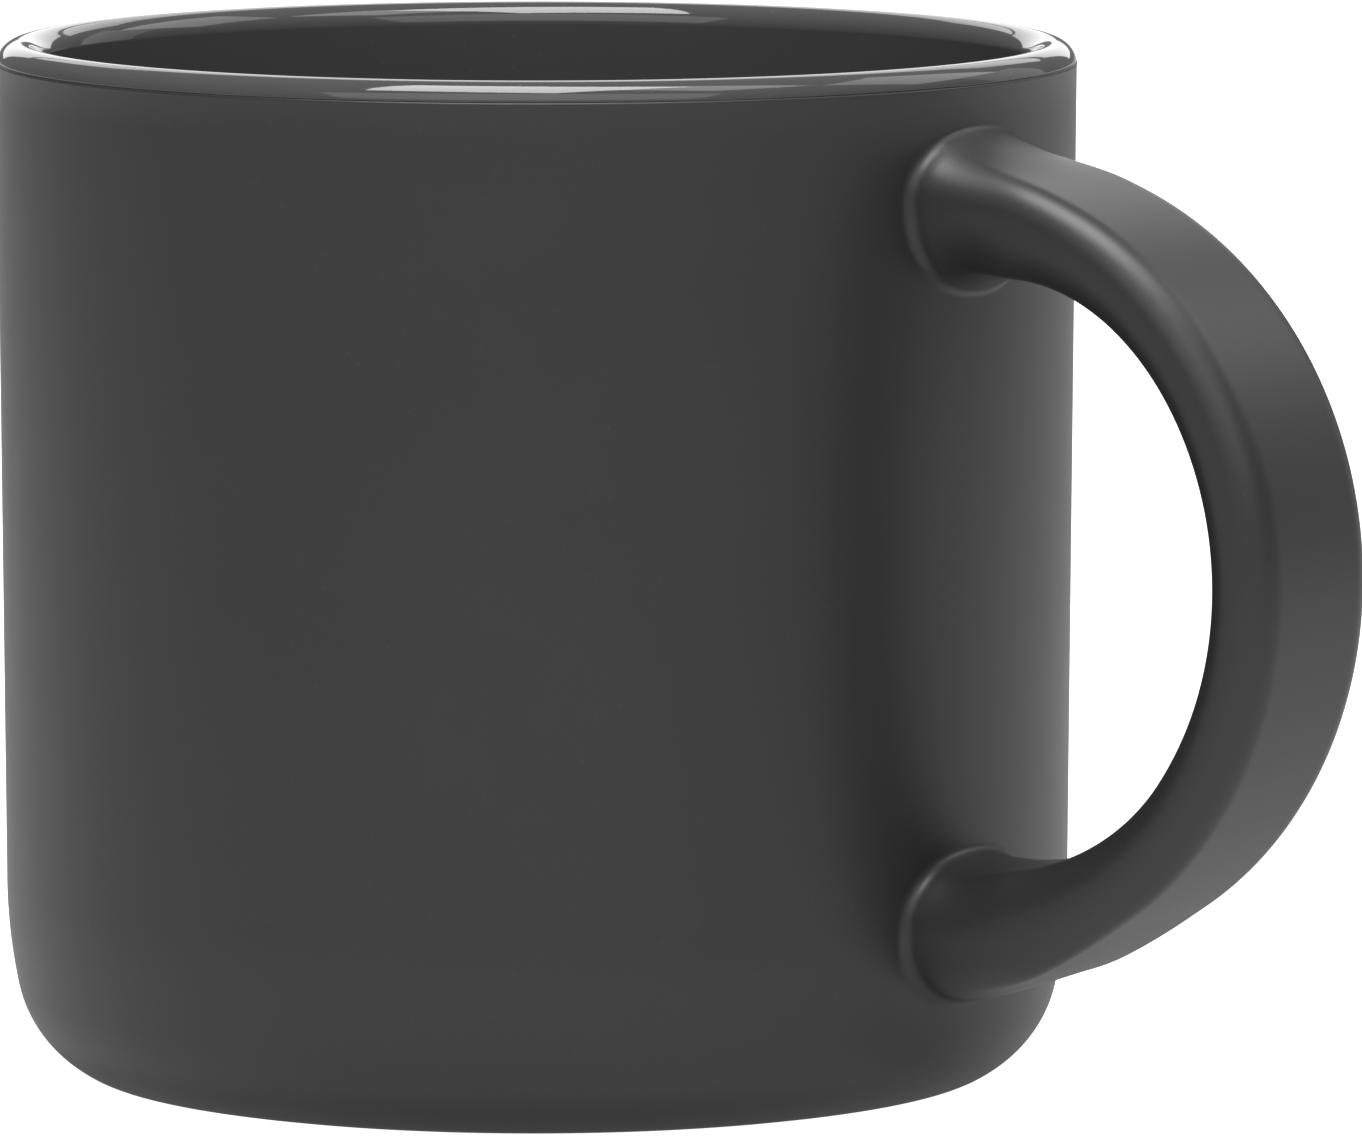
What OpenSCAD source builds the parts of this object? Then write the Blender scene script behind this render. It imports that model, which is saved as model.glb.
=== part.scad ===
// Ceramic mug: a straight-walled stoneware cup with a strap handle luted to its side.
// Millimetres. The axis of the cup is Z, the table is z = 0 and the handle points along +X.

/* [Cup] */
// Height from the table to the top of the rim
cup_height = 86.4; // [80:0.2:100]
// Outer radius of the glazed cup just under the rim
rim_radius = 45; // [44:0.1:46]
// How much the radius shrinks from the rim down to the start of the belly curve
wall_draft = 0.53; // [0.3:0.01:0.9]
// Glazed thickness of the wall at the rim, which is rounded right over
rim_thickness = 3.8; // [3.4:0.1:4.6]
// How much narrower the inside is at its foot than at the rim
inside_draft = 0.8; // [0.4:0.1:1.6]
// Height of the glazed floor inside the cup above the table
floor_height = 6.6; // [5.8:0.1:9]
// Radius of the inside corner between floor and wall
inside_corner = 9; // [6:0.5:14]

/* [Base] */
// Height at which the straight wall turns into the belly curve
belly_height = 16.5; // [15.9:0.1:17.2]
// Angle of the belly curve, in degrees, before the tighter heel curve takes over
belly_angle = 11.8; // [10:0.1:13]
// Radius of the heel curve that runs under to the foot
heel_radius = 10.3; // [9.9:0.1:10.8]
// Radius of the recess inside the foot ring, at the table
recess_radius = 32.8; // [28:0.1:34]
// Depth of the recess under the floor
recess_depth = 1.8; // [1:0.1:2.4]

/* [Glaze] */
// Thickness of every coat of fired glaze
glaze = 0.4; // [0.3:0.05:0.5]
// How far the gloss liner runs down the outside from the top of the rim
gloss_lap = 1.6; // [1:0.1:1.9]
// Height of bare clay left above the table where the foot was wiped
wiped_height = 0.2; // [0.1:0.05:0.6]
// Bare margin left round the glaze in the recess
recess_margin = 0.9; // [0.4:0.1:3]

/* [Handle] */
// Radius of the outer edge of the handle
grip_radius = 33; // [32.5:0.05:33.8]
// Distance from the cup's axis to where the strap's straight ends turn into the loop
loop_start = 45.6; // [45.2:0.1:45.9]
// Height of the centre of that edge above the table
grip_height = 45.7; // [45.5:0.1:47]
// Radius of the finger hole
hole_radius = 26.8; // [26:0.05:27]
// Height of the centre of the finger hole above the table
hole_height = 45.8; // [45.6:0.1:46.6]
// Width of the strap across the handle
strap_width = 16.5; // [15:0.1:19]
// Radius of the rounded edges of the strap
edge_radius = 2.8; // [2.6:0.05:2.9]

/* [Joints] */
// Thickness of the luting slip between the strap and the cup wall
slip_gap = 0.5; // [0.3:0.05:0.8]
// Radius of the smoothed collar of slip round each end of the strap
collar_radius = 3.8; // [3.4:0.1:4]
// Distance from the cup's axis to the plane of the upper collar's edge
upper_collar_plane = 44; // [43.8:0.05:44.2]
// Distance from the cup's axis to the plane of the lower collar's edge
lower_collar_plane = 43.5; // [43.3:0.05:43.7]

/* [Hidden] */
$fn = 128;
past = 2;                                     // how far a cutting shape runs past what it cuts
belly_radius = rim_radius - wall_draft;       // the belly is a zone of a sphere on the axis
belly_bands = 4;                              // narrow cones that make up that zone
heel_x = (belly_radius - heel_radius) * cos(belly_angle);
heel_z = belly_height - (belly_radius - heel_radius) * sin(belly_angle);
rim_round = rim_thickness / 2;
bite = 0.5;                                   // how far neighbouring areas of the outline overlap
rim_x = rim_radius - rim_round;
rim_z = cup_height - rim_round;
gloss_line = cup_height - gloss_lap;
inside_radius = rim_radius - rim_thickness - inside_draft;
recess_slope = 0.8;                           // how much the recess narrows towards its ceiling
shell_gap = 0.3;                              // keeps the liner's region clear of the wall coat
edge_x = strap_width / 2 - edge_radius;       // centre of a rounded edge, across the strap
upper_outer = grip_height + grip_radius;
upper_inner = hole_height + hole_radius;
lower_inner = hole_height - hole_radius;
lower_outer = grip_height - grip_radius;
collar_step = 0.8;                            // the collar stops this far short of its tangent
collar_root = 6;                              // how deep a collar starts inside the wall
footprint_margin = 0.4;                       // how far the handle's coat spreads past a collar

// The cup as a solid of revolution with no inside, taken in by a depth all round.
module outline(depth) {
  wall_base = belly_radius - depth;
  joint_z = belly_height - wall_base * sin(belly_angle);
  turn = belly_angle / belly_bands;
  angles = [for (i = [belly_bands:-1:0]) i * turn];
  belly = [for (a = angles) [wall_base * cos(a), belly_height - wall_base * sin(a)]];
  rim = [[rim_radius - depth, rim_z], [rim_x + bite, rim_z + 2 * bite], [rim_x - bite, rim_z + 2 * bite]];
  core = [[rim_x - 2 * bite, rim_z], [0, rim_z], [0, joint_z], [heel_x, joint_z - past]];
  polygon(concat(core, belly, rim));
  intersection() {
    translate([heel_x, heel_z]) circle(r = heel_radius - depth);
    translate([heel_x - bite, 0]) square([heel_radius + past, joint_z]);
  }
  square([heel_x, joint_z + bite]);
  intersection() {
    translate([rim_x, rim_z]) circle(r = rim_round - depth);
    translate([0, rim_z]) square([rim_radius + past, rim_round]);
  }
}

// The space inside the cup, widened by a depth all round and running past the rim.
module inside(depth) {
  corner_x = inside_radius - inside_corner;
  corner_z = floor_height + inside_corner;
  polygon([[0, corner_z], [inside_radius + depth, corner_z], [rim_x - rim_round + depth, rim_z], [0, rim_z]]);
  intersection() {
    translate([corner_x, corner_z]) circle(r = inside_corner + depth);
    translate([corner_x, floor_height - past]) square([inside_corner + past, inside_corner + past]);
  }
  translate([0, floor_height - depth]) square([corner_x, inside_corner + depth]);
}

// The outline turned about the axis, with its seam on the side away from the handle.
module turned(depth) {
  rotate([0, 0, 180]) rotate_extrude() outline(depth);
}

// The section of the strap where it meets the wall, a rectangle with rounded corners.
module strap_end(top, bottom, depth) {
  edge_z = (top - bottom) / 2 - edge_radius;
  round = edge_radius - depth;
  square([2 * edge_x, 2 * (edge_z + round)], center = true);
  square([2 * (edge_x + round), 2 * edge_z], center = true);
  for (side = [-1, 1]) {
    translate([side * edge_x, edge_z]) circle(r = round);
    translate([side * edge_x, -edge_z]) circle(r = round);
  }
}

// A straight end of the strap, from inside the cup out to where the loop starts.
module stub(top, bottom, depth) {
  start = rim_x - collar_root;
  translate([start, 0, (top + bottom) / 2]) rotate([90, 0, 90])
    linear_extrude(loop_start - start) strap_end(top, bottom, depth);
}

// Half a ring between two circles, with all its edges rounded.
module loop(depth) {
  outer = grip_radius - edge_radius;
  inner = hole_radius + edge_radius;
  round = edge_radius - depth;
  half = strap_width / 2 - depth;
  difference() {
    translate([loop_start, 0, grip_height]) rotate([90, 0, 0]) rotate_extrude() {
      translate([0, -half]) square([outer, 2 * half]);
      translate([0, -edge_x]) square([grip_radius - depth, 2 * edge_x]);
      for (side = [-1, 1]) {
        translate([outer, side * edge_x]) circle(r = round);
      }
    }
    translate([loop_start, 0, hole_height]) rotate([90, 0, 0]) rotate_extrude() difference() {
      translate([0, -half - past]) square([inner, 2 * half + 2 * past]);
      translate([hole_radius + depth, -edge_x]) square([edge_radius, 2 * edge_x]);
      for (side = [-1, 1]) {
        translate([inner, side * edge_x]) circle(r = round);
      }
    }
    translate([loop_start - 2 * grip_radius, -strap_width, 0])
      cube([2 * grip_radius, 2 * strap_width, cup_height]);
  }
}

// The whole strap, taken in by a depth all round.
module strap(depth) {
  loop(depth);
  stub(upper_outer, upper_inner, depth);
  stub(lower_inner, lower_outer, depth);
}

// Half of the section of a collar, from the middle of the strap out to the collar's edge.
module collar_section(reach, depth) {
  difference() {
    translate([0, -collar_root]) square([reach + collar_radius, collar_root + collar_radius - collar_step]);
    translate([reach + collar_radius, collar_radius]) circle(r = collar_radius + depth);
  }
}

// A concave collar round the strap where it meets the wall, swept round a rounded rectangle.
module collar(plane, top, bottom, depth) {
  edge_z = (top - bottom) / 2 - edge_radius;
  translate([plane, 0, (top + bottom) / 2]) rotate([90, 0, 90]) {
    for (turn = [0, 180]) {
      rotate([0, 0, turn]) {
        rotate([90, 0, 90]) translate([0, 0, -edge_x]) linear_extrude(2 * edge_x)
          collar_section(edge_z + edge_radius, depth);
        translate([edge_x, edge_z, 0]) rotate([90, 0, 0]) linear_extrude(2 * edge_z)
          collar_section(edge_radius, depth);
        translate([edge_x, edge_z, 0]) rotate_extrude(angle = 90)
          collar_section(edge_radius, depth);
        translate([-edge_x, edge_z, 0]) rotate([0, 0, 90]) rotate_extrude(angle = 90)
          collar_section(edge_radius, depth);
      }
    }
  }
}

// The patch of wall round a collar that is coated together with the handle.
module footprint(top, bottom) {
  grow = collar_radius + footprint_margin;
  edge_z = (top - bottom) / 2 - edge_radius;
  centre = [rim_x - collar_root, 0, (top + bottom) / 2];
  translate(centre) rotate([90, 0, 90]) linear_extrude(2 * collar_root) {
    square([2 * edge_x, 2 * (edge_z + edge_radius + grow)], center = true);
    square([2 * (edge_x + edge_radius + grow), 2 * edge_z], center = true);
    for (side = [-1, 1]) {
      translate([side * edge_x, edge_z]) circle(r = edge_radius + grow);
      translate([side * edge_x, -edge_z]) circle(r = edge_radius + grow);
    }
  }
}

module footprints() {
  footprint(upper_outer, upper_inner);
  footprint(lower_inner, lower_outer);
}

module upper_collar(depth) {
  collar(upper_collar_plane, upper_outer, upper_inner, depth);
}

module lower_collar(depth) {
  collar(lower_collar_plane, lower_inner, lower_outer, depth);
}

// The thin pads of slip between both ends of the strap and the wall.
module pads() {
  intersection() {
    strap(glaze);
    difference() {
      turned(glaze - slip_gap);
      turned(glaze);
    }
    translate([0, -strap_width / 2, 0]) cube([rim_radius + past, strap_width, cup_height]);
  }
}

// Fired stoneware wall, floor and foot ring in one turned piece.
module cup_body() {
  color([0.78, 0.72, 0.64]) rotate_extrude() difference() {
    outline(glaze);
    inside(glaze);
    polygon([[0, 0], [recess_radius, 0], [recess_radius - recess_slope, recess_depth], [0, recess_depth]]);
  }
}

// Fired stoneware strap, pressed apart from the cup and cut to fit its wall.
module handle_strap() {
  color([0.74, 0.68, 0.6]) difference() {
    strap(glaze);
    turned(glaze - slip_gap);
  }
}

module upper_slip_joint() {
  color([0.6, 0.5, 0.42]) {
    difference() {
      upper_collar(glaze);
      strap(glaze);
      turned(glaze);
    }
    intersection() {
      pads();
      translate([0, -strap_width, grip_height]) cube([rim_radius * 2, strap_width * 2, cup_height]);
    }
  }
}

module lower_slip_joint() {
  color([0.6, 0.5, 0.42]) {
    difference() {
      lower_collar(glaze);
      strap(glaze);
      turned(glaze);
    }
    intersection() {
      pads();
      translate([0, -strap_width, 0]) cube([rim_radius * 2, strap_width * 2, grip_height]);
    }
  }
}

// Where the matt coat lies, from the wiped foot up to the gloss line.
module coat_area() {
  beyond = rim_radius + past;
  foot = [[heel_x, heel_z], [heel_x, wiped_height], [beyond, wiped_height]];
  polygon(concat(foot, [[beyond, gloss_line], [rim_x, gloss_line], [rim_x, belly_height]]));
}

// Matt coat on the outside of the cup, left off under the handle's two joints.
module wall_glaze() {
  color([0.25, 0.25, 0.25]) difference() {
    rotate_extrude() intersection() {
      difference() {
        outline(0);
        outline(glaze);
      }
      coat_area();
    }
    footprints();
  }
}

// Matt coat on the strap, over both collars and on the patches of wall round them.
module handle_glaze() {
  color([0.3, 0.3, 0.3]) difference() {
    union() {
      strap(0);
      upper_collar(0);
      lower_collar(0);
      intersection() {
        turned(0);
        footprints();
      }
    }
    turned(glaze);
    strap(glaze);
    upper_collar(glaze);
    lower_collar(glaze);
  }
}

// Gloss coat inside the cup, over the rim and a little way down the outside.
module liner_glaze() {
  color([0.15, 0.15, 0.15]) rotate_extrude() intersection() {
    difference() {
      difference() {
        outline(0);
        inside(0);
      }
      difference() {
        outline(glaze);
        inside(glaze);
      }
    }
    union() {
      translate([0, floor_height - 2 * glaze]) square([rim_x - rim_round + glaze + shell_gap, cup_height]);
      translate([rim_x - rim_round - past, gloss_line]) square([rim_thickness + 2 * past, rim_thickness]);
    }
  }
}

// Thin island of matt glaze on the ceiling of the recess, clear of the foot ring.
module base_glaze() {
  color([0.28, 0.28, 0.28]) translate([0, 0, recess_depth - glaze])
    cylinder(r = recess_radius - recess_slope - recess_margin, h = glaze);
}

cup_body();
handle_strap();
upper_slip_joint();
lower_slip_joint();
wall_glaze();
handle_glaze();
liner_glaze();
base_glaze();
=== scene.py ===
import math
import bpy
import numpy as np
from mathutils import Matrix, Vector


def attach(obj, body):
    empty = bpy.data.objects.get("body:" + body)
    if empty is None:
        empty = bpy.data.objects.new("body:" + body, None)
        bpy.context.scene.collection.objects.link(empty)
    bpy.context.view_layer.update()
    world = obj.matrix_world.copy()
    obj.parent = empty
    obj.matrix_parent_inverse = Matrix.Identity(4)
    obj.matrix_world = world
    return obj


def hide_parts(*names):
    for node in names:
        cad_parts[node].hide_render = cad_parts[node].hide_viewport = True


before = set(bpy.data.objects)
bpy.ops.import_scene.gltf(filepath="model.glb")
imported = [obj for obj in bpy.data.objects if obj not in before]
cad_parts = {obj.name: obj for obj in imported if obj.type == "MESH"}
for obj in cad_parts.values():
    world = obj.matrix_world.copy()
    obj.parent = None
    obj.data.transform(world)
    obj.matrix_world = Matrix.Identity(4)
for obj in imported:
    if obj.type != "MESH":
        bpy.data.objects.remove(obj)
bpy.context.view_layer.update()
mm = 0.001  # every size below is in millimetres and is scaled by this when a mesh is made
print("stage: frame loaded,", len(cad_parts), "nodes")

# the turned cup: one profile, taken in by a depth for the clay under the glaze
cupShape = {
    "height": 86.4,          # table to the top of the rim
    "rimRadius": 45.0,       # glazed, just under the rim
    "wallDraft": 0.53,       # how much narrower the wall is where the belly starts
    "rimThickness": 3.8,
    "insideDraft": 0.8,
    "floorHeight": 6.6,
    "insideCorner": 9.0,
    "bellyHeight": 16.5,
    "bellyAngle": 11.8,      # degrees of the belly sphere before the heel curve
    "heelRadius": 10.3,
    "recessRadius": 32.8,
    "recessSlope": 0.8,
    "recessDepth": 1.8,
    "glaze": 0.4,
    "glossLap": 1.6,         # how far the gloss runs down the outside
    "wipedHeight": 0.2,      # bare clay left at the foot
    "seat": 0.004,           # how far a coat stands clear of the clay under it
    "poleRadius": 0.6,       # the smallest ring, just before a pole
    # where a coat thins out, at the foot and at the gloss line: how far from that line, how far set back
    "heelAbove": (0, 0.05),
    "heelSetBack": (0.24, 0.07),
    "lipBelow": (0.01, 0.05),
    "lipSetBack": (0.03, 0.16),
    # the small bead of matt glaze under the gloss: how far below the gloss line, and how far it stands out
    "beadBelow": (0.42, 0.34, 0.26, 0.18, 0.1, 0.04),
    "beadSwell": (0.008, 0.03, 0.05, 0.05, 0.02, -0.05),
    "heelBand": 0.15,        # height of the thinned edge at the foot, and of the bead's band
    "beadBand": 0.5,
    "ringRound": 0.5,        # the foot ring's inner edge
    "ringOuterRound": 0.42,
    "ceilingRound": 0.45,    # where the recess wall meets its ceiling
    "islandMargin": 0.9,     # bare clay left round the glaze island
    "steps": 320,            # facets round the axis
}

# the strap handle, and the way it widens and turns into the wall at each root
handleShape = {
    "loopStart": 45.6,       # how far the loop's centre is from the cup's axis
    "outerRadius": 33.0,
    "outerHeight": 45.7,
    "holeRadius": 26.8,
    "holeHeight": 45.8,
    "width": 16.5,
    "edgeRadius": 2.8,
    # each root: how far the strap has spread there outwards, towards the hole and to each side, the last
    # tight fillet included, over what length along the loop it does so, and how suddenly
    "upperRoot": {"spread": (3.0, 5.3, 1.15), "length": (14.0, 36.0, 12.0), "power": (3.6, 3.15, 2.0)},
    "lowerRoot": {"spread": (4.0, 3.5, 0.9), "length": (17.0, 27.0, 12.0), "power": (1.6, 1.5, 2.0)},
    "ovalLength": 9.0,       # where the square section starts turning into an oval
    "ovalPower": 2.2,
    "fillet": 0.85,          # how far the last tight fillet runs out over the wall
    "filletLift": 0.9,       # and how high above the wall it starts
    "toeDips": (0.03, 0.2),  # its toe goes this far under the wall's surface, in two rows
    "toeRuns": (0.25, 0.3),
    "slipThickness": 0.9,
    "slipClearance": 0.02,   # between the slip and the glaze over it
    "slipAngles": (66, 93),  # degrees round the loop between which the slip follows the strap
    "slipSteps": 24,
    "searchAngles": (60, 112),  # degrees round the loop between which the strap meets the wall
    "searchSteps": 400,
    "sectionSteps": 128,
    "loopSteps": 220,
    "filletSteps": 12,
}


def signedVolume(points, triangles):
    # a sixth of the sum over all triangles of a . (b x c), positive when the faces point outwards
    a, b, c = (points[triangles[:, i]] for i in range(3))
    return float(np.einsum("ij,ij->i", a, np.cross(b, c)).sum() / 6)


def gridMesh(name, grid, wrapRows=False, startPole=False, endPole=False):
    # joins a grid of points into quads: columns always close on themselves, rows close when wrapRows is
    # on, and a pole is one point at the mean of its end row with a fan of triangles round it
    rows, columns = grid.shape[:2]
    points = grid.reshape(-1, 3).copy()
    index = np.arange(rows * columns).reshape(rows, columns)
    upper = index if wrapRows else index[:-1]
    lower = np.roll(index, -1, axis=0) if wrapRows else index[1:]
    nextUpper, nextLower = np.roll(upper, -1, axis=1), np.roll(lower, -1, axis=1)
    quads = np.stack([upper, nextUpper, nextLower, lower], -1).reshape(-1, 4)
    fans = []
    for wanted, row, turn in ((startPole, 0, 1), (endPole, rows - 1, -1)):
        if wanted:
            pole = len(points)
            points = np.vstack([points, grid[row].mean(axis=0)])
            fan = np.stack([np.full(columns, pole), np.roll(index[row], -1), index[row]], -1)
            fans.append(fan if turn > 0 else fan[:, ::-1])
    triangles = np.vstack([quads[:, [0, 1, 2]], quads[:, [0, 2, 3]]] + fans)
    if signedVolume(points, triangles) < 0:
        quads = quads[:, ::-1]
        fans = [fan[:, ::-1] for fan in fans]
    mesh = bpy.data.meshes.new(name)
    corners = np.concatenate([quads.ravel()] + [fan.ravel() for fan in fans])
    counts = np.concatenate([np.full(len(quads), 4)] + [np.full(len(fan), 3) for fan in fans])
    mesh.vertices.add(len(points))
    mesh.vertices.foreach_set("co", (points * mm).ravel())
    mesh.loops.add(len(corners))
    mesh.loops.foreach_set("vertex_index", corners)
    mesh.polygons.add(len(counts))
    mesh.polygons.foreach_set("loop_start", np.concatenate([[0], np.cumsum(counts)[:-1]]))
    mesh.polygons.foreach_set("loop_total", counts)
    mesh.polygons.foreach_set("use_smooth", np.ones(len(counts), dtype=bool))
    mesh.update(calc_edges=True)
    mesh.validate()
    piece = bpy.data.objects.new(name, mesh)
    bpy.context.scene.collection.objects.link(piece)
    return piece


def arc(centre, radius, start, end, count):
    # points on a circle from one angle to the other, in degrees, as (radius from the axis, height)
    a = np.radians(np.linspace(start, end, count))
    return np.stack([centre[0] + radius * np.cos(a), centre[1] + radius * np.sin(a)], -1)


def line(start, end, count):
    # evenly spaced points from start to end, without the end
    t = np.linspace(0, 1, count, endpoint=False)[:, None]
    return np.asarray(start) * (1 - t) + np.asarray(end) * t


def lathe(profile, steps):
    # turns each (radius, height) round the axis: x = r cos a, y = r sin a
    a = np.linspace(0, 2 * np.pi, steps, endpoint=False)
    r, z = profile[:, :1], profile[:, 1:]
    return np.stack([r * np.cos(a), r * np.sin(a), z + 0 * a], -1)


def cupCurves(depth):
    # the outside of the cup from the table to the top of the rim, and the inside from the rim to the
    # floor's middle, both moved into the wall by depth: heel arc, belly arc, straight wall, half-round
    # rim, inner wall, corner arc and floor
    c = cupShape
    belly = c["rimRadius"] - c["wallDraft"]
    turn = math.radians(c["bellyAngle"])
    reach = belly - c["heelRadius"]
    heel = (reach * math.cos(turn), c["bellyHeight"] - reach * math.sin(turn))
    rim = c["rimThickness"] / 2
    rimCentre = (c["rimRadius"] - rim, c["height"] - rim)
    heelRadius = c["heelRadius"] - depth
    low = -math.degrees(math.asin(heel[1] / heelRadius))
    inside = c["rimRadius"] - c["rimThickness"] - c["insideDraft"]
    corner = (inside - c["insideCorner"], c["floorHeight"] + c["insideCorner"])
    outer = np.vstack([
        arc(heel, heelRadius, low, -c["bellyAngle"], 40)[:-1],
        arc((0, c["bellyHeight"]), belly - depth, -c["bellyAngle"], 0, 24)[:-1],
        line((belly - depth, c["bellyHeight"]), (c["rimRadius"] - depth, rimCentre[1]), 24),
        arc(rimCentre, rim - depth, 0, 90, 24),
    ])
    inner = np.vstack([
        arc(rimCentre, rim - depth, 90, 180, 24)[1:-1],
        line((rimCentre[0] - rim + depth, rimCentre[1]), (inside + depth, corner[1]), 24),
        arc(corner, c["insideCorner"] + depth, 0, -90, 36)[:-1],
        line((corner[0], c["floorHeight"] - depth), (c["poleRadius"], c["floorHeight"] - depth), 20),
    ])
    return outer, inner


def setBackRows(curve, heights, setBacks):
    # points where the outer curve passes some heights, moved towards the axis: (r(z) - set back, z)
    heights = np.atleast_1d(np.asarray(heights, dtype=float))
    return np.stack([np.interp(heights, curve[:, 1], curve[:, 0]) - np.asarray(setBacks), heights], -1)


def makeCup():
    c = cupShape
    glossLine = c["height"] - c["glossLap"]
    outer, inner = cupCurves(0)
    clayOuter, clayInner = cupCurves(c["glaze"])
    foot, seat, pole = c["wipedHeight"], c["seat"], c["poleRadius"]

    # matt coat: a closed strip, thinned to a soft edge at the foot and a small bead under the gloss
    low, high = foot + c["heelBand"], glossLine - c["beadBand"]
    between = (outer[:, 1] > low) & (outer[:, 1] < high)
    clayBetween = (clayOuter[:, 1] > low) & (clayOuter[:, 1] < high)
    coat = np.vstack([
        setBackRows(outer, foot + np.array(c["heelAbove"]), c["heelSetBack"]),
        outer[between],
        setBackRows(outer, glossLine - np.array(c["beadBelow"]), -np.array(c["beadSwell"])),
        setBackRows(clayOuter, glossLine - c["beadBelow"][-1], -seat),
        clayOuter[clayBetween][::-1] + [seat, 0],
        setBackRows(clayOuter, foot, -seat),
    ])
    wall = gridMesh("mattWallCoat", lathe(coat, c["steps"]), wrapRows=True)

    # gloss liner: from the middle of the floor up the inside, over the rim and down to its thin edge
    lip = outer[outer[:, 1] > glossLine + 0.02][::-1]
    clayLip = clayOuter[clayOuter[:, 1] > glossLine] + [seat, 0]
    skin = np.vstack([
        inner[::-1],
        lip,
        setBackRows(outer, glossLine - np.array(c["lipBelow"]), c["lipSetBack"]),
        setBackRows(clayOuter, glossLine - c["lipBelow"][-1], -seat),
        clayLip,
        clayInner[:-1] + [0, seat / 2],
        [[pole, c["floorHeight"] - c["glaze"] + seat / 2]],
    ])
    liner = gridMesh("glossLiner", lathe(skin, c["steps"]), startPole=True, endPole=True)

    # bare clay: foot ring with softened corners, sloping recess wall and ceiling, then the turned wall
    ringInside, ceiling = c["recessRadius"], c["recessDepth"]
    ceilingEdge = ringInside - c["recessSlope"] - 0.7
    ceilingRound, innerRound, outerRound = c["ceilingRound"], c["ringRound"], c["ringOuterRound"]
    footEdge = setBackRows(clayOuter, 0.35, 0)[0, 0]
    ring = np.vstack([
        [[pole, ceiling]],
        line((1.5, ceiling), (ceilingEdge, ceiling), 14),
        arc((ceilingEdge, ceiling - ceilingRound), ceilingRound, 90, 10, 6) + [0.25, 0],
        arc((ringInside + innerRound, innerRound), innerRound, 190, 270, 8),
        line((ringInside + 0.6, 0), (footEdge - 0.7, 0), 6),
        arc((footEdge - 0.66, outerRound), outerRound, 270, 330, 6),
    ])
    turnedWall = clayOuter[clayOuter[:, 1] > 0.4]
    body = np.vstack([ring, turnedWall, clayInner[:-1], [[pole, clayInner[-1, 1]]]])
    clay = gridMesh("turnedClayBody", lathe(body, c["steps"]), startPole=True, endPole=True)

    # glaze island under the cup, with a rounded edge
    edge = ringInside - c["recessSlope"] - c["islandMargin"]
    top = ceiling - seat
    underside = top - c["glaze"]
    island = np.vstack([
        [[pole, top]],
        line((1.5, top), (edge - 0.2, top), 12),
        [[edge, top], [edge, top - 0.1]],
        arc((edge - 0.3, top - 0.1), 0.3, 0, -90, 8)[1:],
        line((edge - 0.6, underside), (pole, underside), 12),
        [[pole, underside]],
    ])
    base = gridMesh("mattFootIsland", lathe(island, c["steps"]), startPole=True, endPole=True)
    print("stage: cup turned, four pieces")
    return wall, liner, clay, base


def strapSection(depth):
    # a rounded rectangle followed at even steps of its edge: a straight side of the core plus a quarter
    # turn of the edge radius, four times; gives the way out from the loop's centre and the way across,
    # each as a share of half the section
    h = handleShape
    thick = (h["outerRadius"] - h["holeRadius"]) / 2 - depth
    wide = h["width"] / 2 - depth
    radius = h["edgeRadius"] - depth
    flatOut, flatSide = thick - radius, wide - radius
    quarter = radius * math.pi / 2
    ends = np.cumsum([0] + [2 * flatSide, quarter, 2 * flatOut, quarter] * 2)
    at = (np.arange(h["sectionSteps"]) + 0.5) * ends[-1] / h["sectionSteps"]
    core = np.array([[1, -1], [1, 1], [1, 1], [-1, 1], [-1, 1], [-1, -1], [-1, -1], [1, -1], [1, -1]])
    turned = np.array([90, 90, 0, 0, -90, -90, -180, -180, -270])
    coreOut = np.interp(at, ends, core[:, 0]) * flatOut
    coreSide = np.interp(at, ends, core[:, 1]) * flatSide
    angle = np.radians(np.interp(at, ends, turned))
    return (coreOut + radius * np.sin(angle)) / thick, (coreSide + radius * np.cos(angle)) / wide


def wallReach(side, height, depth):
    # how far out the wall is at a sideways offset and a height: sqrt(r(z)^2 - y^2)
    outer, _ = cupCurves(depth)
    radius = np.interp(height, outer[:, 1], outer[:, 0])
    return np.sqrt(np.maximum(radius ** 2 - side ** 2, 0))


def loopRadii(angle):
    # the two circles seen from one centre between theirs: rho = d sin a + sqrt(R^2 - (d cos a)^2), where
    # d is how far a circle's own centre is above it; gives the middle radius and half the thickness
    h = handleShape
    centre = (h["outerHeight"] + h["holeHeight"]) / 2
    circles = ((h["outerRadius"], h["outerHeight"] - centre), (h["holeRadius"], h["holeHeight"] - centre))
    rho = [d * np.sin(angle) + np.sqrt(radius ** 2 - (d * np.cos(angle)) ** 2) for radius, d in circles]
    return centre, (rho[0] + rho[1]) / 2, (rho[0] - rho[1]) / 2


def rootSpread(angle, root):
    # how much the section has grown at an angle round the loop: spread * (1 - s / length)^power, where s
    # is the way along the loop from the root, for the outer face, the hole side and the two edges
    h = handleShape
    s = (h["outerRadius"] + h["holeRadius"]) / 2 * np.maximum(np.pi / 2 - np.abs(angle), 0)
    grown = [(spread - h["fillet"]) * np.maximum(1 - s / length, 0) ** power
             for spread, length, power in zip(root["spread"], root["length"], root["power"])]
    oval = np.maximum(1 - s / h["ovalLength"], 0)
    return grown, oval * oval * (3 - 2 * oval)


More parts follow.
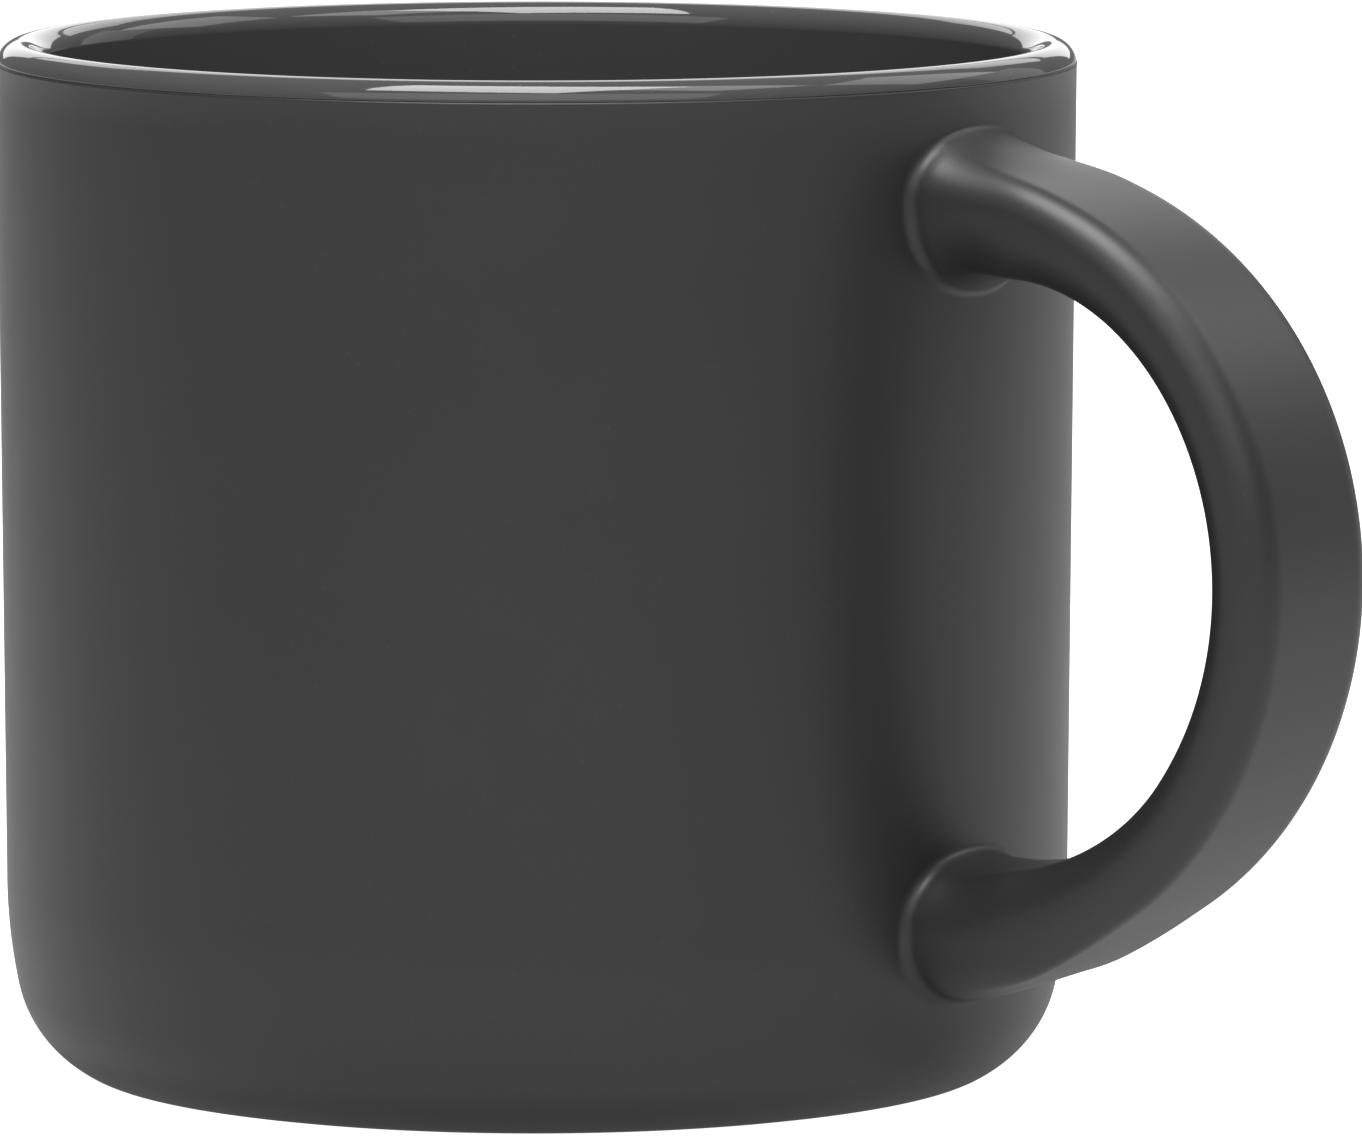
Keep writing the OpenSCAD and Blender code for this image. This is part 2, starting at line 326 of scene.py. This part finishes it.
def loopPoint(angle, out, side, depth):
    # the section carried round the loop: x = centre + rho cos a, z = centre + rho sin a, where rho is the
    # middle radius plus the section's way out; near a root it grows and turns into a superellipse
    h = handleShape
    centre, middle, thick = loopRadii(angle)
    wide = h["width"] / 2 - depth
    upper, upperOval = rootSpread(angle, h["upperRoot"])
    lower, lowerOval = rootSpread(angle, h["lowerRoot"])
    isUpper = angle > 0
    outerGrow, holeGrow, sideGrow = (np.where(isUpper, u, l) for u, l in zip(upper, lower))
    oval = np.where(isUpper, upperOval, lowerOval)
    phi = np.arctan2(out, side)
    power = 2 / h["ovalPower"]
    p = (1 - oval) * out + oval * np.sign(np.sin(phi)) * np.abs(np.sin(phi)) ** power
    q = (1 - oval) * side + oval * np.sign(np.cos(phi)) * np.abs(np.cos(phi)) ** power
    rho = middle + p * (thick - depth + np.where(p > 0, outerGrow, holeGrow))
    y = q * (wide + sideGrow)
    x, z = h["loopStart"] + rho * np.cos(angle), centre + rho * np.sin(angle)
    return np.stack([x, y + 0 * rho, z], -1)


def rootAngle(sign, out, side, depth, lift):
    # the angle at which each line of the loop comes down to a height over the wall, read off a fine table
    first, last = handleShape["searchAngles"]
    angles = sign * np.radians(np.linspace(first, last, handleShape["searchSteps"]))[:, None]
    table = loopPoint(angles, out, side, depth)
    over = table[..., 0] - wallReach(table[..., 1], table[..., 2], depth) - lift
    row = np.clip(np.argmax(over < 0, axis=0), 1, len(angles) - 1)
    column = np.arange(len(out))
    high, low = over[row - 1, column], over[row, column]
    share = high / (high - low)
    return angles[row - 1, 0] * (1 - share) + angles[row, 0] * share


def rootFillet(sign, out, side, depth):
    # the tight fillet at a root: a quadratic curve in (lift over the wall, way outwards), leaving along the
    # widening strap and landing flat on the wall, then two rows that dip under the wall's surface
    h = handleShape
    root = h["upperRoot"] if sign > 0 else h["lowerRoot"]
    lift = h["filletLift"]
    tip = rootAngle(sign, out, side, depth, lift)
    start = loopPoint(tip, out, side, depth)
    centre, middle, _ = loopRadii(sign * math.pi / 2)
    up, across = start[:, 2] - centre - sign * middle, start[:, 1]
    high = np.abs(up).max()
    wide = np.abs(across).max()
    normal = np.stack([across / wide ** 2, up / high ** 2], -1)
    normal /= np.linalg.norm(normal, axis=1)[:, None]
    slopes = [(spread - h["fillet"]) * power / length
              for spread, length, power in zip(root["spread"], root["length"], root["power"])]
    outwards = up * sign > 0
    slope = normal[:, 1] ** 2 * np.where(outwards, slopes[0], slopes[1]) + normal[:, 0] ** 2 * slopes[2]
    t = np.linspace(0, 1, h["filletSteps"])[1:, None]
    dips = np.array(h["toeDips"])[:, None]
    lifts = np.vstack([lift * (1 - t) ** 2 + 0 * slope, 0 * slope - dips])
    ways = 2 * t * (1 - t) * slope * lift + t * t * h["fillet"]
    ways = np.vstack([ways, ways[-1:] + np.array(h["toeRuns"])[:, None]])
    y = across + ways * normal[:, 0]
    z = start[:, 2] + ways * normal[:, 1]
    return tip, np.stack([wallReach(y, z, depth) + lifts, y, z], -1)


def handleRows(depth):
    # rows of the handle's surface from the upper fillet's edge, round the loop, to the lower one's
    out, side = strapSection(depth)
    upperTip, upperRows = rootFillet(1, out, side, depth)
    lowerTip, lowerRows = rootFillet(-1, out, side, depth)
    t = np.linspace(0, 1, handleShape["loopSteps"])[:, None]
    angle = upperTip * (1 - t) + lowerTip * t
    return np.concatenate([upperRows[::-1], loopPoint(angle, out, side, depth), lowerRows])


def slipRows(sign):
    # the slip round one root: out along the under side of the glaze and back along the strap
    h = handleShape
    depth = cupShape["glaze"] + h["slipClearance"]
    out, side = strapSection(depth)
    tip, fillet = rootFillet(sign, out, side, depth)
    reach, end = sign * np.radians(h["slipAngles"][0]), sign * np.radians(h["slipAngles"][1])
    t = np.linspace(0, 1, h["slipSteps"])[:, None]
    over = loopPoint(tip * (1 - t) + reach * t, out, side, depth)
    back = reach * (1 - t) + end * t
    centre, middle, thick = loopRadii(back)
    rho = middle + out * (thick - h["slipThickness"])
    y = side * (h["width"] / 2 - h["slipThickness"]) + 0 * back
    under = np.stack([h["loopStart"] + rho * np.cos(back), y, centre + rho * np.sin(back)], -1)
    return np.concatenate([fillet[::-1], over, under])


def makeHandle():
    outside = handleRows(0)
    under = handleRows(cupShape["glaze"])
    coat = gridMesh("mattHandleCoat", np.concatenate([outside, under[::-1]]), wrapRows=True)
    upperSlip = gridMesh("upperRootSlip", slipRows(1), wrapRows=True)
    lowerSlip = gridMesh("lowerRootSlip", slipRows(-1), wrapRows=True)
    print("stage: handle coat swept,", len(coat.data.polygons), "faces, with a slip joint at each root")
    return coat, upperSlip, lowerSlip


def group(name, inputs, outputs):
    # an empty shader group with its sockets made, ready for its nodes
    tree = bpy.data.node_groups.new(name, "ShaderNodeTree")
    for label, kind, value in inputs:
        socket = tree.interface.new_socket(name=label, in_out="INPUT", socket_type=kind)
        if value is not None:
            socket.default_value = value
    for label, kind in outputs:
        tree.interface.new_socket(name=label, in_out="OUTPUT", socket_type=kind)
    return tree, tree.nodes.new("NodeGroupInput"), tree.nodes.new("NodeGroupOutput")


def mathNode(tree, operation, first, second=None, clamp=False):
    node = tree.nodes.new("ShaderNodeMath")
    node.operation = operation
    node.use_clamp = clamp
    for socket, value in zip(node.inputs, (first, second)):
        if value is None:
            continue
        if hasattr(value, "is_output"):
            tree.links.new(value, socket)
        else:
            socket.default_value = value
    return node.outputs[0]


def noiseNode(tree, coords, scale, detail=3.0, roughness=0.55):
    node = tree.nodes.new("ShaderNodeTexNoise")
    node.inputs["Detail"].default_value = detail
    node.inputs["Roughness"].default_value = roughness
    tree.links.new(coords, node.inputs["Vector"])
    if hasattr(scale, "is_output"):
        tree.links.new(scale, node.inputs["Scale"])
    else:
        node.inputs["Scale"].default_value = scale
    return node.outputs["Fac"]


def makeGrainGroup():
    # fine grain of a fired surface: a height and a mottled mask from three sizes of noise
    tree, given, result = group(
        "firedGrain",
        [("Grain Size", "NodeSocketFloat", 2600.0), ("Cloud Size", "NodeSocketFloat", 60.0),
         ("Wave Size", "NodeSocketFloat", 26.0), ("Wave Share", "NodeSocketFloat", 0.5)],
        [("Height", "NodeSocketFloat"), ("Mottle", "NodeSocketFloat")],
    )
    coords = tree.nodes.new("ShaderNodeTexCoord").outputs["Object"]
    grain = noiseNode(tree, coords, given.outputs["Grain Size"], 2.0, 0.6)
    cloud = noiseNode(tree, coords, given.outputs["Cloud Size"], 4.0, 0.6)
    wave = noiseNode(tree, coords, given.outputs["Wave Size"], 1.0, 0.4)
    waveShare = given.outputs["Wave Share"]
    swell = mathNode(tree, "MULTIPLY", wave, waveShare)
    height = mathNode(tree, "ADD", grain, swell)
    tree.links.new(height, result.inputs["Height"])
    tree.links.new(cloud, result.inputs["Mottle"])
    return tree


def makeSpeckGroup():
    # rare small specks: cells of a fine pattern, kept only where a coarse noise allows them
    tree, given, result = group(
        "firedSpecks",
        [("Speck Size", "NodeSocketFloat", 900.0), ("Rarity", "NodeSocketFloat", 0.12)],
        [("Mask", "NodeSocketFloat")],
    )
    coords = tree.nodes.new("ShaderNodeTexCoord").outputs["Object"]
    cells = tree.nodes.new("ShaderNodeTexVoronoi")
    tree.links.new(coords, cells.inputs["Vector"])
    tree.links.new(given.outputs["Speck Size"], cells.inputs["Scale"])
    near = mathNode(tree, "LESS_THAN", cells.outputs["Distance"], given.outputs["Rarity"])
    pick = mathNode(tree, "GREATER_THAN", noiseNode(tree, coords, 700.0, 1.0), 0.56)
    tree.links.new(mathNode(tree, "MULTIPLY", near, pick), result.inputs["Mask"])
    return tree


grainGroup = makeGrainGroup()
speckGroup = makeSpeckGroup()

mattGlaze = {
    "colour": (0.020, 0.020, 0.0201),
    "light": (0.025, 0.025, 0.0251),
    "speck": (0.032, 0.032, 0.032),
    "roughness": 0.42,
    "roughnessSpread": 0.07,
    "bump": 0.10,
    "bumpDepth": 0.00004,
    "specular": 0.5,
    "grainSize": 2600.0,
    "cloudSize": 55.0,
    "waveSize": 26.0,
    "waveShare": 0.4,
}
glossGlaze = {
    "colour": (0.060, 0.060, 0.0604),
    "light": (0.067, 0.067, 0.0674),
    "speck": (0.08, 0.08, 0.08),
    "roughness": 0.045,
    "roughnessSpread": 0.02,
    "bump": 0.06,
    "bumpDepth": 0.0001,
    "specular": 0.5,
    "grainSize": 300.0,
    "cloudSize": 40.0,
    "waveSize": 60.0,
    "waveShare": 1.0,
}
bareClay = {
    "colour": (0.46, 0.39, 0.31),
    "light": (0.56, 0.49, 0.40),
    "speck": (0.16, 0.11, 0.08),
    "roughness": 0.82,
    "roughnessSpread": 0.1,
    "bump": 0.35,
    "bumpDepth": 0.00012,
    "specular": 0.3,
    "grainSize": 1800.0,
    "cloudSize": 90.0,
    "waveSize": 40.0,
    "waveShare": 0.3,
}
driedSlip = dict(bareClay, colour=(0.36, 0.28, 0.22), light=(0.44, 0.35, 0.28), bump=0.5)


def firedMaterial(name, look):
    # colour: base mixed to a lighter tone by the mottle, then to the speck colour by the specks;
    # roughness: base plus a share of the mottle; normal: a bump of the grain's height
    material = bpy.data.materials.new(name)
    material.use_nodes = True
    tree = material.node_tree
    shader = tree.nodes["Principled BSDF"]
    grain = tree.nodes.new("ShaderNodeGroup")
    grain.node_tree = grainGroup
    grain.inputs["Grain Size"].default_value = look["grainSize"]
    grain.inputs["Cloud Size"].default_value = look["cloudSize"]
    grain.inputs["Wave Size"].default_value = look["waveSize"]
    grain.inputs["Wave Share"].default_value = look["waveShare"]
    specks = tree.nodes.new("ShaderNodeGroup")
    specks.node_tree = speckGroup
    tone = tree.nodes.new("ShaderNodeMix")
    tone.data_type = "RGBA"
    tone.inputs[6].default_value = (*look["colour"], 1)
    tone.inputs[7].default_value = (*look["light"], 1)
    tree.links.new(grain.outputs["Mottle"], tone.inputs["Factor"])
    dots = tree.nodes.new("ShaderNodeMix")
    dots.data_type = "RGBA"
    dots.inputs[7].default_value = (*look["speck"], 1)
    tree.links.new(tone.outputs[2], dots.inputs[6])
    tree.links.new(specks.outputs["Mask"], dots.inputs["Factor"])
    tree.links.new(dots.outputs[2], shader.inputs["Base Color"])
    spread = mathNode(tree, "MULTIPLY", grain.outputs["Mottle"], look["roughnessSpread"])
    rough = mathNode(tree, "ADD", spread, look["roughness"] - look["roughnessSpread"] / 2, clamp=True)
    tree.links.new(rough, shader.inputs["Roughness"])
    bump = tree.nodes.new("ShaderNodeBump")
    bump.inputs["Strength"].default_value = look["bump"]
    bump.inputs["Distance"].default_value = look["bumpDepth"]
    tree.links.new(grain.outputs["Height"], bump.inputs["Height"])
    tree.links.new(bump.outputs["Normal"], shader.inputs["Normal"])
    shader.inputs["Specular IOR Level"].default_value = look["specular"]
    return material


mattMaterial = firedMaterial("mattCharcoalGlaze", mattGlaze)
glossMaterial = firedMaterial("glossCharcoalGlaze", glossGlaze)
clayMaterial = firedMaterial("bareStoneware", bareClay)
slipMaterial = firedMaterial("firedSlip", driedSlip)
print("stage: four glaze and clay materials made")

wallCoat, linerSkin, clayBody, footIsland = makeCup()
handleCoat, upperSlip, lowerSlip = makeHandle()
for piece, material, slotName, node in (
    (wallCoat, mattMaterial, "matt_glaze", "wall_glaze"),
    (linerSkin, glossMaterial, "gloss_glaze", "liner_glaze"),
    (clayBody, clayMaterial, "stoneware", "cup_body"),
    (footIsland, mattMaterial, "matt_glaze", "base_glaze"),
    (handleCoat, mattMaterial, "matt_glaze", "handle_glaze"),
    (upperSlip, slipMaterial, "luting_slip", "upper_slip_joint"),
    (lowerSlip, slipMaterial, "luting_slip", "lower_slip_joint"),
):
    piece.data.materials.append(material)
    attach(piece, "root")
    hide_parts(node)
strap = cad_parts["handle_strap"]
strap.data.materials.clear()
strap.data.materials.append(clayMaterial)
print("stage: pieces placed on the frame")

# camera: looks a little down on the mug, with the handle to the right and turned towards it
cameraView = {
    "turn": 37.0,            # degrees from square-on to the handle's plane
    "distance": 1100.0,
    "height": 171.2,
    "pitch": 0.11692,        # radians below level
    "yaw": 0.010946,         # radians to the right of the cup's axis
    "roll": 0.0005,
    "lens": 349.62,
    "sensor": 36.0,
}


def makeCamera(v):
    # forward is the level view direction turned by yaw, tipped down by pitch, then rolled about itself
    data = bpy.data.cameras.new("studioCamera")
    data.lens = v["lens"]
    data.sensor_width = v["sensor"]
    data.sensor_fit = "HORIZONTAL"
    data.clip_start = 0.05
    data.clip_end = 20
    data.dof.use_dof = False
    camera = bpy.data.objects.new("studioCamera", data)
    bpy.context.scene.collection.objects.link(camera)
    turn = math.radians(v["turn"])
    spot = Vector((v["distance"] * math.sin(turn), -v["distance"] * math.cos(turn), v["height"])) * mm
    heading = Matrix.Rotation(turn - v["yaw"], 4, "Z")
    tip = Matrix.Rotation(math.pi / 2 - v["pitch"], 4, "X")
    spin = Matrix.Rotation(v["roll"], 4, "Z")
    camera.matrix_world = Matrix.Translation(spot) @ heading @ tip @ spin
    bpy.context.scene.camera = camera
    return camera


# plain pale floor, a soft even surround and large soft boxes over, behind and in front of the cup
studio = {
    "floor": (0.42, 0.42, 0.42),
    "floorGlow": 0.31,       # light the floor gives the cup from below
    "floorSeen": 0.75,       # what it shows besides, so that it stays pale and the foot has little shadow
    "floorHalf": 12.0,       # half its side, in metres
    "floorDrop": 0.00004,    # a hair under the foot, so the two faces don't fight
    "surround": 0.19,
    # name, degrees round from the camera, degrees up, distance, width, height, watts
    "lamps": [
        ("overheadBox", -25, 81, 1.2, 0.66, 0.76, 16.6),
        ("backBox", 180, 13, 1.6, 1.15, 0.42, 2.4),
        ("backHighBox", 176, 30, 1.6, 1.3, 0.45, 3.0),
        ("rightBackBox", 125, 15, 1.6, 0.7, 0.8, 0.9),
        ("rightHighBox", 112, 42, 1.6, 0.9, 0.7, 3.8),
        ("rightTopBox", 70, 66, 1.5, 0.55, 0.55, 3.0),
        ("frontBox", -4, 37, 1.9, 2.8, 1.3, 15.5),
    ],
}


def makeFloor(s):
    # one large square at table height, painted matt and glowing a little
    plate = bpy.data.meshes.new("paleFloor")
    square = np.array([[-1, -1, 0], [1, -1, 0], [1, 1, 0], [-1, 1, 0]]) * s["floorHalf"]
    plate.from_pydata((square - [0, 0, s["floorDrop"]]).tolist(), [], [[0, 1, 2, 3]])
    floor = bpy.data.objects.new("paleFloor", plate)
    bpy.context.scene.collection.objects.link(floor)
    floorMaterial = bpy.data.materials.new("paleFloorPaint")
    floorMaterial.use_nodes = True
    tree = floorMaterial.node_tree
    paint = tree.nodes["Principled BSDF"]
    paint.inputs["Base Color"].default_value = (*s["floor"], 1)
    paint.inputs["Roughness"].default_value = 0.9
    paint.inputs["Specular IOR Level"].default_value = 0.1
    paint.inputs["Emission Color"].default_value = (1, 1, 1, 1)
    path = tree.nodes.new("ShaderNodeLightPath")
    seen = mathNode(tree, "MULTIPLY", path.outputs["Is Camera Ray"], s["floorSeen"])
    glow = mathNode(tree, "ADD", seen, s["floorGlow"])
    tree.links.new(glow, paint.inputs["Emission Strength"])
    plate.materials.append(floorMaterial)


def makeSurround(s):
    # the same soft light from every side
    world = bpy.data.worlds.new("studioWorld")
    world.use_nodes = True
    background = world.node_tree.nodes["Background"]
    background.inputs["Color"].default_value = (1, 1, 1, 1)
    background.inputs["Strength"].default_value = s["surround"]
    bpy.context.scene.world = world


def makeLamps(s):
    # soft boxes round the cup, each turned to face a point half-way up it
    aim = Vector((0, 0, 0.045))
    facing = math.radians(cameraView["turn"])
    for name, around, up, distance, width, height, watts in s["lamps"]:
        data = bpy.data.lights.new(name, "AREA")
        data.shape = "RECTANGLE"
        data.size = width
        data.size_y = height
        data.energy = watts
        lamp = bpy.data.objects.new(name, data)
        bpy.context.scene.collection.objects.link(lamp)
        a, e = facing + math.radians(around), math.radians(up)
        away = Vector((math.sin(a) * math.cos(e), -math.cos(a) * math.cos(e), math.sin(e)))
        lamp.location = aim + away * distance
        lamp.rotation_euler = away.to_track_quat("Z", "Y").to_euler()


makeCamera(cameraView)
makeFloor(studio)
makeSurround(studio)
makeLamps(studio)
bpy.context.scene.view_settings.view_transform = "Standard"
print("stage: camera, floor and lights set")
